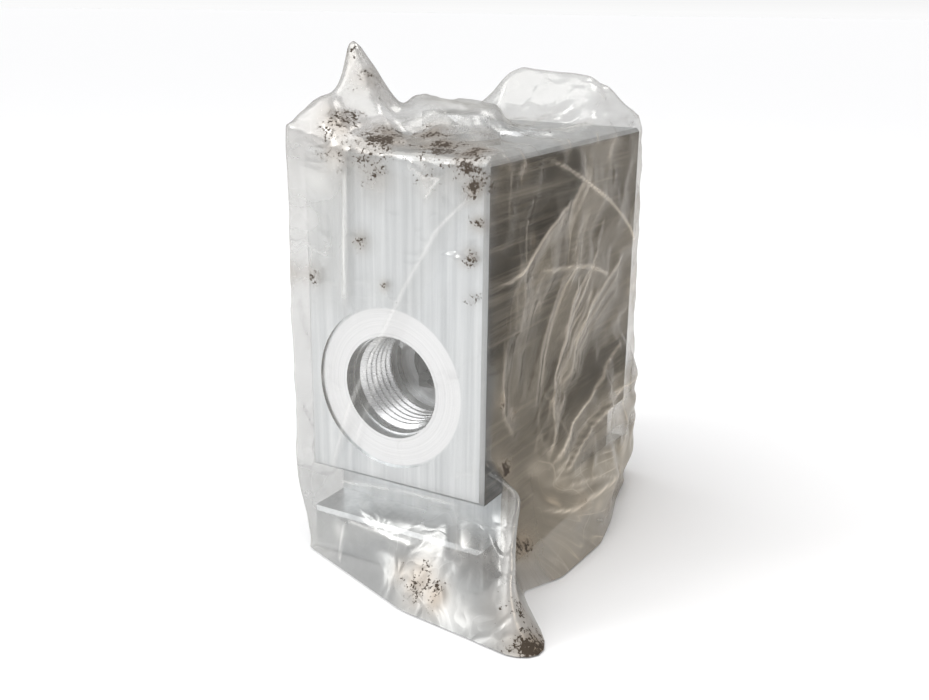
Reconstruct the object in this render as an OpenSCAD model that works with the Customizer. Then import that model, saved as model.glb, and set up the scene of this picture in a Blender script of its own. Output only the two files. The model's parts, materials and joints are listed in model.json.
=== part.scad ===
// Hydraulic monoblock valve: an aluminium block with an adjustable unloading
// spool, a load-holding check valve, plugged galleries and its clear bag.
// Millimetres. The origin is the middle of the base face, -Y is the inlet
// side and +Z is up.

/* [Block] */
// Width of the block, along X
body_w = 42; // [40:0.5:50]
// Depth of the block, from the inlet face to the outlet face
body_d = 75; // [75:1:90]
// Height of the block
body_h = 88; // [88:1:100]
// Chamfer on the block's outer edges
edge = 0.8; // [0.4:0.1:1.2]
// Offset of every main bore from the block's middle plane
centre_x = -1; // [-1.5:0.5:0]

/* [Foot] */
// Thickness of the foot's two lips
lip_h = 10; // [8:1:11]
// Height of the clamping slot above each lip
slot_h = 10; // [8:1:10]
// Depth of each slot
slot_d = 11; // [10:0.5:12]
// Radius of the four tapped fixing holes in the base
bolt_r = 3; // [2.5:0.5:4]
// Depth of the fixing holes
bolt_deep = 14; // [10:1:16]
// Distance between the fixing holes along X
bolt_dx = 26; // [22:1:28]
// Distance between the fixing holes along Y
bolt_dy = 40; // [34:1:42]

/* [Ports] */
// Height of the inlet port
inlet_z = 41; // [40:0.5:42]
// Height of the outlet port
outlet_z = 58; // [57:0.5:59]
// Height of the tank port
tank_z = 54; // [53:0.5:55]
// Height of the gauge port
gauge_z = 38; // [37:0.5:39]

/* [Cartridges] */
// Distance of the spool bore and of the check bore from the middle, along Y
bore_y = 11.5; // [11:0.5:12]
// Opening travel of the spool
spool_travel = 6; // [5:0.5:6]
// Opening travel of the check poppet
poppet_travel = 4; // [3:0.5:4]
// Running clearance on a radius
clear = 0.03; // [0.02:0.01:0.05]

/* [Bag] */
// Least gap between the film and the block
film_gap = 1.3; // [1.2:0.1:2]
// Thickness that stands for the film and its folds
film_t = 0.5; // [0.4:0.1:0.6]
// Height of the bag's gathered corner above the block
ear_h = 18.5; // [14:0.5:20]

/* [Hidden] */
$fn = 64;
tiny = 0.05;                  // play between pieces that stay still against each other
over = 1;                     // how far a cutter runs past a face

hw = body_w / 2;
hd = body_d / 2;
slot_top = lip_h + slot_h;

// threaded ports: thread radius, entry radius, spotface radius, thread depth
half_inch = [10.48, 10.75, 17, 14];
three_eighths = [8.33, 8.6, 14, 10];
quarter_inch = [6.58, 6.8, 10.5, 9];
spot_d = 0.5;
entry_d = 2.5;
drill_step = 1.2;             // the tapping drill is this much smaller than the thread, on the radius

// spool bore, from the bottom up
spool_bore_r = 6;
spool_floor = 26;
groove_r = 8.5;
inlet_groove = [35, 47];
tank_groove = [50, 60];
plug_floor = 74;              // where the spool bore opens out for the adjuster plug
plug_thread_r = 7;
plug_spot_r = 10.5;
drain_z = 71.3;
drain_r = 1.5;
drain_x = -15.5;
ball_r = 2;

// spool
spool_r = spool_bore_r - clear;
spool_low = spool_floor + 0.4;
spool_top = 66;
pilot_r = 2;

// check bore, from the bottom up
check_low_r = 6.5;
check_floor = 32;
seat_low = 44;
seat_top = 50;
seat_r = 7.5;
seat_hole_r = 4.5;
check_r = 8.5;
check_plug_floor = 76;
check_plug_r = 10;

// adjuster: the screw pushes the spring seat down inside the plug
chamber_r = 5.5;
seat_z = 82;                  // underside of the spring seat
screw_low = 85.2;
screw_r = 4;
screw_len = 4.4;
seal_z = body_h - spot_d;
seal_t = 1.5;
collar_t = 1.5;
collar_r = 9.2;
hex_h = 3.6;
hex_flats = 14;

module at(x, y, z) translate([x, y, z]) children();
module along_y() rotate([-90, 0, 0]) children();
module along_x() rotate([0, 90, 0]) children();

module hex(flats, h) cylinder(r = flats / sqrt(3), h = h, $fn = 6);

module ring(r_out, r_in, h) difference() {
    cylinder(r = r_out, h = h);
    at(0, 0, -over) cylinder(r = r_in, h = h + 2 * over);
}

module oring(r_mid, r_wire) rotate_extrude() translate([r_mid, 0]) circle(r = r_wire, $fn = 32);

// a threaded port, cut from its mouth at z = 0 down to negative z
module port_cut(port) {
    at(0, 0, -spot_d) cylinder(r = port[2], h = spot_d + over);
    at(0, 0, -spot_d - entry_d) cylinder(r = port[1], h = entry_d + over);
    at(0, 0, -spot_d - entry_d - port[3]) cylinder(r = port[0], h = port[3] + over);
    at(0, 0, -spot_d - entry_d - port[3] - 2) cylinder(r = port[0] - drill_step, h = 3);
}

// ---------------------------------------------------------------- block

module chamfered(a, b, c) polygon([[-a + c, -b], [a - c, -b], [a, -b + c], [a, b - c],
                                   [a - c, b], [-a + c, b], [-a, b - c], [-a, -b + c]]);

// half of the block's side view, from the base up: a lip, a slot and the face above
function side_half() = [[hd - edge, 0], [hd, edge], [hd, lip_h - edge], [hd - edge, lip_h],
                        [hd - slot_d, lip_h], [hd - slot_d, slot_top], [hd - edge, slot_top],
                        [hd, slot_top + edge], [hd, body_h - edge], [hd - edge, body_h]];

module block_blank() intersection() {
    linear_extrude(body_h) chamfered(hw, hd, edge);
    at(0, hd, body_h / 2) rotate([90, 0, 0]) linear_extrude(body_d) chamfered(hw, body_h / 2, edge);
    rotate([90, 0, 90]) at(0, 0, -hw) linear_extrude(body_w)
        polygon(concat(side_half(), [for (i = [9:-1:0]) [-side_half()[i][0], side_half()[i][1]]]));
}

module spool_bore_cut() at(centre_x, -bore_y, 0) {
    at(0, 0, spool_floor) cylinder(r = spool_bore_r, h = body_h);
    for (g = [inlet_groove, tank_groove]) at(0, 0, g[0]) cylinder(r = groove_r, h = g[1] - g[0]);
    at(0, 0, plug_floor) cylinder(r = plug_thread_r, h = body_h);
    at(0, 0, body_h - spot_d) cylinder(r = plug_spot_r, h = over);
}

module check_bore_cut() at(centre_x, bore_y, 0) {
    at(0, 0, check_floor) cylinder(r = check_low_r, h = body_h);
    at(0, 0, seat_low) cylinder(r = seat_r, h = body_h);
    at(0, 0, seat_top) cylinder(r = check_r, h = body_h);
    at(0, 0, check_plug_floor) cylinder(r = check_plug_r, h = body_h);
}

// inlet, outlet, tank and gauge ports with the drillings behind them
module ports_cut() {
    at(centre_x, -hd, inlet_z) rotate([90, 0, 0]) port_cut(half_inch);
    at(centre_x, -hd + 18, inlet_z) along_y() cylinder(r = 6, h = hd - 18 - bore_y);
    at(centre_x, -bore_y, inlet_z) along_y() cylinder(r = 5, h = 2 * bore_y);
    at(centre_x, hd, outlet_z) along_y() port_cut(half_inch);
    at(-hw, -bore_y, tank_z) rotate([0, -90, 0]) port_cut(three_eighths);
    at(-hw + 13, -bore_y, tank_z) along_x() cylinder(r = 4.5, h = 6);
    at(-hw, bore_y + 2, gauge_z) rotate([0, -90, 0]) port_cut(quarter_inch);
    at(-hw + 11, bore_y + 2, gauge_z) along_x() cylinder(r = 2.5, h = 6);
}

// the spring chamber's drain: a cross drilling and a vertical one, each closed by a ball
module drain_cut() {
    at(-hw - over, -bore_y, drain_z) along_x() cylinder(r = drain_r, h = hw + centre_x + over);
    at(-hw - over, -bore_y, drain_z) along_x() cylinder(r = ball_r + tiny, h = over + 4.5);
    at(drain_x, -bore_y, tank_z) cylinder(r = drain_r, h = body_h);
    at(drain_x, -bore_y, body_h - 4.5) cylinder(r = ball_r + tiny, h = 5.5);
}

module fixing_holes_cut() for (sx = [-1, 1], sy = [-1, 1])
    at(sx * bolt_dx / 2, sy * bolt_dy / 2, -over) cylinder(r = bolt_r, h = bolt_deep + over);

module valve_body() color("silver") difference() {
    block_blank();
    ports_cut();
    spool_bore_cut();
    check_bore_cut();
    drain_cut();
    fixing_holes_cut();
}

// ---------------------------------------------------------------- spool and its setting

// three lands, two waists, a stop nib below and a spring spigot above
module spool() color("dimgray") at(centre_x, -bore_y, 0) difference() {
    union() {
        at(0, 0, spool_low) cylinder(r = 3.2, h = 3);
        at(0, 0, spool_low + 2) cylinder(r = spool_r, h = 34.8 - spool_low - 2);
        at(0, 0, 34) cylinder(r = 3.5, h = spool_top - 34);
        at(0, 0, 46.5) cylinder(r = spool_r, h = 7);
        at(0, 0, 61.5) cylinder(r = spool_r, h = spool_top - 61.5);
        at(0, 0, spool_top - over) cylinder(r = 2.6, h = 3);
    }
    at(0, 0, spool_low - over) cylinder(r = pilot_r, h = over + 8);
    at(0, 0, spool_low) cylinder(r = 1, h = inlet_z - spool_low);
    at(-8, 0, inlet_z) along_x() cylinder(r = 1, h = 16);
}

// jet screw in the spool's lower end, with a slot for its driver
module damping_orifice() color("goldenrod") at(centre_x, -bore_y, spool_low + 0.4) difference() {
    cylinder(r = pilot_r - tiny, h = 3.5);
    at(0, 0, -over) cylinder(r = 0.4, h = 6);
    at(-3, -0.3, -over) cube([6, 0.6, over + 0.9]);
}

// gauze disc and its rim, ahead of the jet
module orifice_screen() color("lightgray") at(centre_x, -bore_y, spool_low + 4.2) {
    difference() {
        cylinder(r = pilot_r - tiny, h = 1);
        at(0, 0, 0.3) cylinder(r = 1.4, h = 1);
        for (i = [-1, 0, 1], j = [-1, 0, 1])
            at(i * 0.7, j * 0.7, -over) cylinder(r = 0.2, h = 2);
    }
}

// points and faces of a wire wound on a helix, with one closed turn at each end
function coil_z(a, h, turns, wire) =
    a < 1 ? wire + a * 2 * wire :
    a > turns - 1 ? h - wire - (turns - a) * 2 * wire :
    3 * wire + (a - 1) / (turns - 2) * (h - 6 * wire);

module coil_spring(r, wire, h, turns, per_turn = 20, sides = 8) {
    n = turns * per_turn;
    points = [for (i = [0:n]) let (a = 360 * i / per_turn, z = coil_z(i / per_turn, h, turns, wire))
              for (k = [0:sides - 1]) let (b = 360 * k / sides)
              [(r + wire * cos(b)) * cos(a), (r + wire * cos(b)) * sin(a), z + wire * sin(b)]];
    walls = [for (i = [0:n - 1], k = [0:sides - 1]) let (m = (k + 1) % sides)
             [i * sides + k, i * sides + m, (i + 1) * sides + m, (i + 1) * sides + k]];
    polyhedron(points, concat(walls, [[for (k = [sides - 1:-1:0]) k]],
                              [[for (k = [0:sides - 1]) n * sides + k]]), convexity = 10);
}

module spool_spring() color("slategray") at(centre_x, -bore_y, spool_top + tiny)
    coil_spring(4.3, 0.7, seat_z - spool_top - 2 * tiny, 5);

module spring_seat() color("darkgray") at(centre_x, -bore_y, seat_z) difference() {
    union() {
        cylinder(r = chamber_r - 0.06, h = 3);
        at(0, 0, -1.6) cylinder(r = 3.2, h = 2);
    }
    at(0, 0, 0.9) ring(chamber_r + over, 4.4, 1.2);
}

module spring_seat_oring() color("black") at(centre_x, -bore_y, seat_z + 1.5) oring(4.94, 0.5);

// set screw with a hexagon socket
module adjuster_screw() color("gray") at(centre_x, -bore_y, screw_low) difference() {
    union() {
        cylinder(r = 2.6, h = 0.8);
        at(0, 0, 0.6) cylinder(r = screw_r - tiny, h = screw_len - 0.6);
    }
    at(0, 0, screw_len - 2.6) hex(4, 4);
}

// jam screw with the socket right through, so that the key reaches the adjuster
module lock_screw() color("gray") at(centre_x, -bore_y, screw_low + screw_len + tiny) difference() {
    cylinder(r = screw_r - tiny, h = 3.6);
    at(0, 0, -over) hex(5, 6);
}

// hollow plug: threaded stem with the spring chamber, collar and hexagon
module adjuster_plug() color("gainsboro") at(centre_x, -bore_y, 0) difference() {
    union() {
        at(0, 0, plug_floor + tiny) cylinder(r = plug_thread_r - tiny, h = seal_z + seal_t - plug_floor);
        at(0, 0, seal_z + seal_t) cylinder(r = collar_r, h = collar_t);
        at(0, 0, seal_z + seal_t + collar_t - 0.1) intersection() {
            hex(hex_flats, hex_h);
            at(0, 0, -4) cylinder(r1 = 13, r2 = hex_flats / 2 + 0.1, h = hex_h + 4);
        }
    }
    at(0, 0, plug_floor - over) cylinder(r = chamber_r, h = screw_low + 0.4 - plug_floor + over);
    at(0, 0, plug_floor) cylinder(r = screw_r, h = 30);
}

module adjuster_plug_seal() color("peru") at(centre_x, -bore_y, seal_z + tiny)
    ring(collar_r + 0.2, plug_thread_r + tiny, seal_t - 2 * tiny);

// ---------------------------------------------------------------- check valve

module check_seat() color("gray") at(centre_x, bore_y, seat_low + tiny) difference() {
    cylinder(r = seat_r - 0.02, h = seat_top - seat_low - tiny);
    at(0, 0, -over) cylinder(r = seat_hole_r, h = 10);
    at(0, 0, 2) ring(seat_r + over, 6.3, 1.6);
}

module check_seat_oring() color("black") at(centre_x, bore_y, seat_low + tiny + 2.8) oring(6.88, 0.55);

// cup with a cone below; its skirt is guided in the bore and holds the spring
module check_poppet() color("dimgray") at(centre_x, bore_y, seat_top) difference() {
    union() {
        at(0, 0, 0.12) cylinder(r1 = 4.5, r2 = 7, h = 2.6);
        at(0, 0, 2.6) cylinder(r = check_r - clear - 0.02, h = 11);
    }
    at(0, 0, 5) cylinder(r = 6.6, h = 12);
    for (a = [45:90:315]) rotate([0, 0, a]) at(0, 0, 8) along_x() cylinder(r = 1.6, h = 12);
}

module check_spring() color("slategray") at(centre_x, bore_y, seat_top + 5 + tiny)
    coil_spring(5.5, 0.6, 21.4, 6);

// flush plug: sealing nose with a spring pocket, thread and hexagon socket
module check_plug() color("gainsboro") at(centre_x, bore_y, 0) difference() {
    union() {
        at(0, 0, 74.6) cylinder(r = 7.7, h = 4);
        at(0, 0, 78) cylinder(r = check_plug_r - tiny, h = body_h - 0.6 - 78);
    }
    at(0, 0, 74) cylinder(r = 6.4, h = 2.55);
    at(0, 0, body_h - 6) hex(10, 7);
    at(0, 0, body_h - 1.6) cylinder(r1 = 5, r2 = 6.5, h = 1.1);
}

module check_plug_oring() color("black") at(centre_x, bore_y, 77) oring(8.87, 0.93);

// ---------------------------------------------------------------- gauge port and galleries

// plug in the gauge port: threaded stem, seal, round collar and hexagon socket
module gauge_plug() color("gainsboro") at(-hw + spot_d, bore_y + 2, gauge_z) rotate([0, -90, 0])
    difference() {
        union() {
            at(0, 0, -9) cylinder(r = quarter_inch[0] - tiny, h = 10.5);
            at(0, 0, 1.5) cylinder(r = 9.5, h = 2.2);
            at(0, 0, 3.6) cylinder(r1 = 9.5, r2 = 8.7, h = 0.6);
        }
        at(0, 0, -1) hex(6, 8);
    }

module gauge_plug_seal() color("peru") at(-hw + spot_d - tiny, bore_y + 2, gauge_z) rotate([0, -90, 0])
    ring(9.4, quarter_inch[0] + tiny, 1.5 - 2 * tiny);

module gallery_balls() color("gray") {
    at(-hw + 2.3, -bore_y, drain_z) sphere(r = ball_r);
    at(drain_x, -bore_y, body_h - 2.3) sphere(r = ball_r);
}

// ---------------------------------------------------------------- bag

// The bag is a film hood, open at the base. A point on it is told by s, the way round the
// block's outline from the front left corner, and by its height or its share of the roof.
perimeter = 2 * (body_w + body_d);
step_x = 10;                  // facets along each short side
step_y = 18;                  // and along each long side
around = concat([for (i = [0:step_x - 1]) body_w * i / step_x],
                [for (i = [0:step_y - 1]) body_w + body_d * i / step_y],
                [for (i = [0:step_x - 1]) body_w + body_d + body_w * i / step_x],
                [for (i = [0:step_y - 1]) 2 * body_w + body_d + body_d * i / step_y]);
corners = [0, body_w, body_w + body_d, 2 * body_w + body_d, perimeter];
wall_heights = [0.3, 3, 7, 13, 22, 34, 48, 66, 82, 87.5];
roof_shares = [0.96, 0.88, 0.76, 0.62, 0.47, 0.32, 0.16];

function soft(x) = let (c = max(0, min(1, x))) c * c * (3 - 2 * c);
function window(x, low, high, fade) = soft((x - low) / fade + 0.5) * soft((high - x) / fade + 0.5);
function hill(x, w) = exp(-pow(x / w, 2));

function outline(s) =
    s < corners[1] ? [-hw + s, -hd] :
    s < corners[2] ? [hw, -hd + s - corners[1]] :
    s < corners[3] ? [hw - (s - corners[2]), hd] : [-hw, hd - (s - corners[3])];

// direction that the film stands off in, turning over the last 4 mm to each corner
function heading(s) = -90 + 90 * (soft((s - corners[1]) / 8 + 0.5) + soft((s - corners[2]) / 8 + 0.5)
                                  + soft((s - corners[3]) / 8 + 0.5) + soft((s - corners[4]) / 8 + 0.5)
                                  - 1 + soft(s / 8 + 0.5));

// how far the film stands off the block: pushed out by the gauge plug, slack low on the
// right, flared along the front of the foot, and drawn to a tip at the front right corner
function stand_off(s, z) = film_gap
    + 3.9 * window(s, corners[3] + 5, perimeter - 3, 8)
    + 10 * window(s, 52, 112, 16) * hill(z, 24)
    + 11 * window(s, 14, 40, 16) * hill(z, 7)
    + 17 * hill(s - corners[1], 4.5) * hill(z, 6)
    + 3 * window(s, corners[2] + 4, corners[3] - 4, 8) * hill(z - 30, 30);

// the roof's height: a gathered ear, a bump over the adjuster plug and a ridge along the back
function roof_z(x, y) = let (
        plug = norm([x - centre_x, y + bore_y]),
        ear = norm([x + 19, (y + 20) * 0.8]))
    body_h + film_gap + film_t
    + max(7.6 / (1 + pow(plug / 12.5, 6)), ear_h * pow(max(0, 1 - ear / 17), 1.6),
          9 * hill(y - 31, 8) * window(x, -10, 15, 14));

function wall_point(s, z, inset) = let (g = stand_off(s, z) - inset, a = heading(s), p = outline(s))
    [p[0] + g * cos(a), p[1] + g * sin(a), z];
function roof_point(s, share, inset) = let (p = wall_point(s, body_h, inset))
    [p[0] * share, p[1] * share, roof_z(p[0] * share, p[1] * share) - inset];

module protective_bag() color([0.85, 0.87, 0.86, 0.4]) {
    n = len(around);
    rows = len(wall_heights) + len(roof_shares);
    skin = function(inset) concat(
        [for (z = wall_heights, s = around) wall_point(s, z, inset)],
        [for (f = roof_shares, s = around) roof_point(s, f, inset)],
        [[0, 0, roof_z(0, 0) - inset]]);
    inner = n * rows + 1;
    points = concat(skin(0), skin(film_t));
    walls = [for (r = [0:rows - 2], i = [0:n - 1]) let (j = (i + 1) % n)
             [r * n + i, r * n + j, (r + 1) * n + j, (r + 1) * n + i]];
    tris = concat([for (q = walls) [q[0], q[2], q[1]]], [for (q = walls) [q[0], q[3], q[2]]],
                  [for (i = [0:n - 1]) [(rows - 1) * n + i, n * rows, (rows - 1) * n + (i + 1) % n]]);
    rim = [for (i = [0:n - 1]) let (j = (i + 1) % n) [i, j, inner + j]];
    rim2 = [for (i = [0:n - 1]) let (j = (i + 1) % n) [i, inner + j, inner + i]];
    polyhedron(points, concat(tris, [for (t = tris) [inner + t[2], inner + t[1], inner + t[0]]],
                              rim, rim2), convexity = 12);
}

valve_body();
spool();
damping_orifice();
orifice_screen();
spool_spring();
spring_seat();
spring_seat_oring();
adjuster_screw();
lock_screw();
adjuster_plug();
adjuster_plug_seal();
check_seat();
check_seat_oring();
check_poppet();
check_spring();
check_plug();
check_plug_oring();
gauge_plug();
gauge_plug_seal();
gallery_balls();
protective_bag();
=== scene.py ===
# %% [markdown]
# # A hydraulic valve block in its clear bag
# The frame of this lesson is a finished mechanical model: a milled aluminium block, the valve
# pieces inside it and a plain hood where its bag goes. This script gives every piece its finish,
# cuts the threads, winds the springs and makes the bag as thin creased film.

# %% The frame
import json
import math
import random

import bmesh
import bpy
import numpy as np
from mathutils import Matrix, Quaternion, Vector, noise


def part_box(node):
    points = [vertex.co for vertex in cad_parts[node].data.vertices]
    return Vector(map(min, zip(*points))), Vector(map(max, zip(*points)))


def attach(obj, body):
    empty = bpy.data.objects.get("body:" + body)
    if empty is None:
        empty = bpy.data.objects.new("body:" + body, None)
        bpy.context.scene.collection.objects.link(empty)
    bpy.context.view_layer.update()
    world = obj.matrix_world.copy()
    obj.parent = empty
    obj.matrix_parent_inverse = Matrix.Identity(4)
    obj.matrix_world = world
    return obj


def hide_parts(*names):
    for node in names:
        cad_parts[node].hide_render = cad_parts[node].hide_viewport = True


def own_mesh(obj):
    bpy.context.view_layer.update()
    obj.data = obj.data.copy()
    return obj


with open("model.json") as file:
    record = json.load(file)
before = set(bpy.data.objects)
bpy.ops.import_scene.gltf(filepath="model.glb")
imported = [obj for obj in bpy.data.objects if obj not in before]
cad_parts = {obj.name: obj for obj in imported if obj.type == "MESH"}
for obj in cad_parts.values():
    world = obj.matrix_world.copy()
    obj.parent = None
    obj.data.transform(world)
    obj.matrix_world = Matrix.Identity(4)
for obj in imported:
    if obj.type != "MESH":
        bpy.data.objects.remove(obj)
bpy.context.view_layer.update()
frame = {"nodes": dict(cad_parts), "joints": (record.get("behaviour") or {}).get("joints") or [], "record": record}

MM = 0.001


def add_object(name, data):
    """A new object in the scene."""
    thing = bpy.data.objects.new(name, data)
    bpy.context.scene.collection.objects.link(thing)
    return thing


block_low, block_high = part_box("valve_body")
print("block from", [round(v, 4) for v in block_low], "to", [round(v, 4) for v in block_high])

# %% [markdown]
# ## Where to stand
# The block is seen from its front right and a little above. A lens of about 42 mm at a hand's
# distance gives the strong perspective of a close product picture. The camera is placed by two
# angles and a distance from a point near the block's middle, because those are the numbers that
# a photographer would change.

# %% Camera
AZIMUTH = math.radians(29.7)
ELEVATION = math.radians(17.5)
ROLL = math.radians(0.7)
DISTANCE = 248 * MM
LENS = 41.87
AIM_OFFSET = Vector((-3.0, -3.3, -4.3)) * MM     # from the block's middle


def place_camera():
    aim = (block_low + block_high) / 2 + AIM_OFFSET
    back = Vector((math.sin(AZIMUTH) * math.cos(ELEVATION),
                   -math.cos(AZIMUTH) * math.cos(ELEVATION), math.sin(ELEVATION)))
    data = bpy.data.cameras.new("camera")
    data.lens = LENS
    data.clip_start = 0.01
    camera = add_object("camera", data)
    camera.location = aim + back * DISTANCE
    camera.rotation_mode = "QUATERNION"
    camera.rotation_quaternion = back.to_track_quat("Z", "Y") @ Quaternion((0, 0, 1), ROLL)
    bpy.context.scene.camera = camera
    return camera


camera = place_camera()
print("camera at", [round(v, 4) for v in camera.location])

# %% [markdown]
# ## Light
# Clear film only shows where it mirrors something bright beside something dark. So the room
# is mid grey, with three soft boxes in it: a large one at the front left, a long warm
# one low at the right, and a small one above. The room turns white at the
# horizon and one broad light covers the whole floor, which keeps the paper even to its far edge.

# %% Floor, room and soft boxes
FLOOR_SIZE = 60
FLOOR_TONE = 0.93
AIM_LIGHTS = Vector((0, 0, 0.05))     # the soft boxes face this place
HORIZON_END = 0.12                    # where the room's grey begins, as a share of the way up


def pale_floor():
    bpy.ops.mesh.primitive_plane_add(size=FLOOR_SIZE)
    floor = bpy.context.object
    floor.name = "floor"
    material = bpy.data.materials.new("floor_paper")
    material.use_nodes = True
    shader = material.node_tree.nodes["Principled BSDF"]
    shader.inputs["Base Color"].default_value = (FLOOR_TONE, FLOOR_TONE, FLOOR_TONE, 1)
    shader.inputs["Roughness"].default_value = 1.0
    shader.inputs["Specular IOR Level"].default_value = 0.0
    floor.data.materials.append(material)


def soft_box(name, place, size, watts, colour=(1, 1, 1)):
    data = bpy.data.lights.new(name, "AREA")
    data.shape = "RECTANGLE"
    data.size, data.size_y = size
    data.energy = watts
    data.color = colour
    light = add_object(name, data)
    light.location = place
    light.rotation_euler = (Vector(place) - AIM_LIGHTS).to_track_quat("Z", "Y").to_euler()


def grey_room(strength, horizon):
    world = bpy.data.worlds.new("room")
    bpy.context.scene.world = world
    world.use_nodes = True
    nodes, links = world.node_tree.nodes, world.node_tree.links
    place = nodes.new("ShaderNodeTexCoord")
    split = nodes.new("ShaderNodeSeparateXYZ")
    ramp = nodes.new("ShaderNodeValToRGB")
    ramp.color_ramp.elements[0].position = 0.0
    ramp.color_ramp.elements[0].color = (horizon, horizon, horizon, 1)
    ramp.color_ramp.elements[1].position = HORIZON_END
    ramp.color_ramp.elements[1].color = (strength, strength, strength * 1.02, 1)
    links.new(place.outputs["Generated"], split.inputs[0])
    links.new(split.outputs["Z"], ramp.inputs["Fac"])
    links.new(ramp.outputs["Color"], nodes["Background"].inputs["Color"])


def broad_sun(strength, spread):
    """An even light over the whole floor, with edges as soft as a cloudy sky's."""
    data = bpy.data.lights.new("broad_light", "SUN")
    data.energy = strength
    data.angle = math.radians(spread)
    light = add_object("broad_light", data)
    light.rotation_euler = Vector((-0.35, -0.45, 1.0)).to_track_quat("Z", "Y").to_euler()


pale_floor()
grey_room(0.4, 0.97)
broad_sun(2.35, 80)
soft_box("key_box", (-0.5, -0.55, 0.42), (0.16, 0.16), 1.1)
soft_box("side_box", (0.55, -0.1, 0.3), (0.05, 0.25), 0.35, (1.0, 0.9, 0.78))
soft_box("top_box", (0.05, 0.3, 0.6), (0.2, 0.2), 0.5)
bpy.context.scene.view_settings.view_transform = "Standard"

# %% [markdown]
# ## A short way to write materials
# A material is a graph of nodes, and long graphs are hard to read as code. The class below wraps
# one socket, so that sums on values read like sums: `1 - mask` adds a Math node. Colours and
# vectors have their own two helpers. Every other node comes from `node`.

# %% The socket class
def operator(operation, swapped=False):
    """A method that puts a Math node between a Wire and another value."""
    def method(self, other):
        return self.math(operation, *((other, self) if swapped else (self, other)))
    return method


class Wire:
    """One output socket in a material, which can be used in expressions."""

    def __init__(self, socket):
        self.socket = socket

    def node(self, kind, settings=None, sockets=None, output=0):
        """A new node in the same material, as the Wire of one of its outputs."""
        tree = self.socket.id_data
        new = tree.nodes.new("ShaderNode" + kind)
        for name, value in (settings or {}).items():
            if name == "stops":
                ramp = new.color_ramp
                while len(ramp.elements) < len(value):
                    ramp.elements.new(0.5)
                for element, (position, colour) in zip(ramp.elements, value):
                    element.position = position
                    element.color = (*colour, 1)
            else:
                setattr(new, name, value)
        for key, value in (sockets or {}).items():
            if isinstance(value, Wire):
                tree.links.new(value.socket, new.inputs[key])
            else:
                new.inputs[key].default_value = value
        return Wire(new.outputs[output])

    def math(self, operation, *values, clamp=False):
        return self.node("Math", {"operation": operation, "use_clamp": clamp},
                         dict(enumerate(values)))

    __add__ = __radd__ = operator("ADD")
    __sub__, __rsub__ = operator("SUBTRACT"), operator("SUBTRACT", swapped=True)
    __mul__ = __rmul__ = operator("MULTIPLY")
    __pow__ = operator("POWER")

    def __abs__(self):
        return self.math("ABSOLUTE", self)

    def clamp(self):
        return self.math("ADD", self, 0, clamp=True)

    def above(self, low, high):
        """0 below low, 1 above high and smooth between, for masks."""
        return self.node("MapRange", {"interpolation_type": "SMOOTHSTEP"},
                         {"Value": self, "From Min": low, "From Max": high})

    def blend(self, first, second):
        """Mixes two colours by this value."""
        return self.node("Mix", {"data_type": "RGBA"}, {0: self, 6: first, 7: second}, output=2)

    def stretch(self, x, y, z):
        """This vector with each axis multiplied."""
        return self.node("VectorMath", {"operation": "MULTIPLY"}, {0: self, 1: (x, y, z)})

    def away(self, point):
        """The vector from a fixed point to this one."""
        return self.node("VectorMath", {"operation": "SUBTRACT"}, {0: self, 1: point})

    def length(self):
        return self.node("VectorMath", {"operation": "LENGTH"}, {0: self}, output="Value")

    def noise(self, scale, detail=2.0, roughness=0.5):
        return self.node("TexNoise", None, {"Vector": self, "Scale": scale, "Detail": detail,
                                            "Roughness": roughness})

    def cells(self, scale):
        """How far the nearest border of a random cell is: 0 on the borders."""
        return self.node("TexVoronoi", {"feature": "DISTANCE_TO_EDGE"},
                         {"Vector": self, "Scale": scale})

    def axis(self, name):
        return self.node("SeparateXYZ", None, {0: self}, output=name)


def rgb(red, green, blue):
    return (red, green, blue, 1)


def start_material(name):
    """An empty material: returns it with the Wire of an object's own coordinates."""
    material = bpy.data.materials.new(name)
    material.use_nodes = True
    tree = material.node_tree
    tree.nodes.remove(tree.nodes["Principled BSDF"])
    return material, Wire(tree.nodes.new("ShaderNodeTexCoord").outputs["Object"])


def surface(material, place, **sockets):
    """Adds the material's Principled shader; underscores in the names stand for spaces."""
    named = {key.replace("_", " "): value for key, value in sockets.items()}
    shader = place.node("BsdfPrincipled", None, named)
    out = material.node_tree.nodes["Material Output"]
    material.node_tree.links.new(shader.socket, out.inputs["Surface"])
    return shader


def bump(height, distance, strength=1.0):
    return height.node("Bump", None, {"Height": height, "Distance": distance, "Strength": strength})


def finish_node(name, material):
    """Gives a carried-over CAD piece its finish."""
    mesh = frame["nodes"][name].data
    mesh.materials.clear()
    mesh.materials.append(material)


# %% [markdown]
# ## The block's aluminium
# The block is sawn from extruded bar. Its ends, which carry the main ports, are fly-cut and show
# fine upright streaks on bright metal. Its sides keep the bar's own skin, lined along the bar; their
# near-black, warm colour is painted shade, as if they lay in shadow. Round each port the spotface
# is turned by a cutter, so its lines are rings and it is the brightest metal of all. One graph does
# all of it: the way that the surface faces picks the bright end or the side in painted shade, and
# the distance from each port's axis picks the rings.

# %% Machined aluminium
SPOTFACE = 1.6        # radius of the turned ring, as a share of the thread's


def ports():
    """Each threaded port's place, direction and thread radius."""
    found = []
    for mount in frame["record"]["mounts"]:
        if mount["name"].endswith("_port"):
            found.append((Vector(mount["pos_m"]), Vector(mount["axis"]), mount["dims"]["r_mm"] * MM))
    return found


def from_axis(place, port, along):
    """Distance from a port's axis, as a Wire."""
    return place.away(port).stretch(*(0 if part else 1 for part in along)).length()


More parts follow.
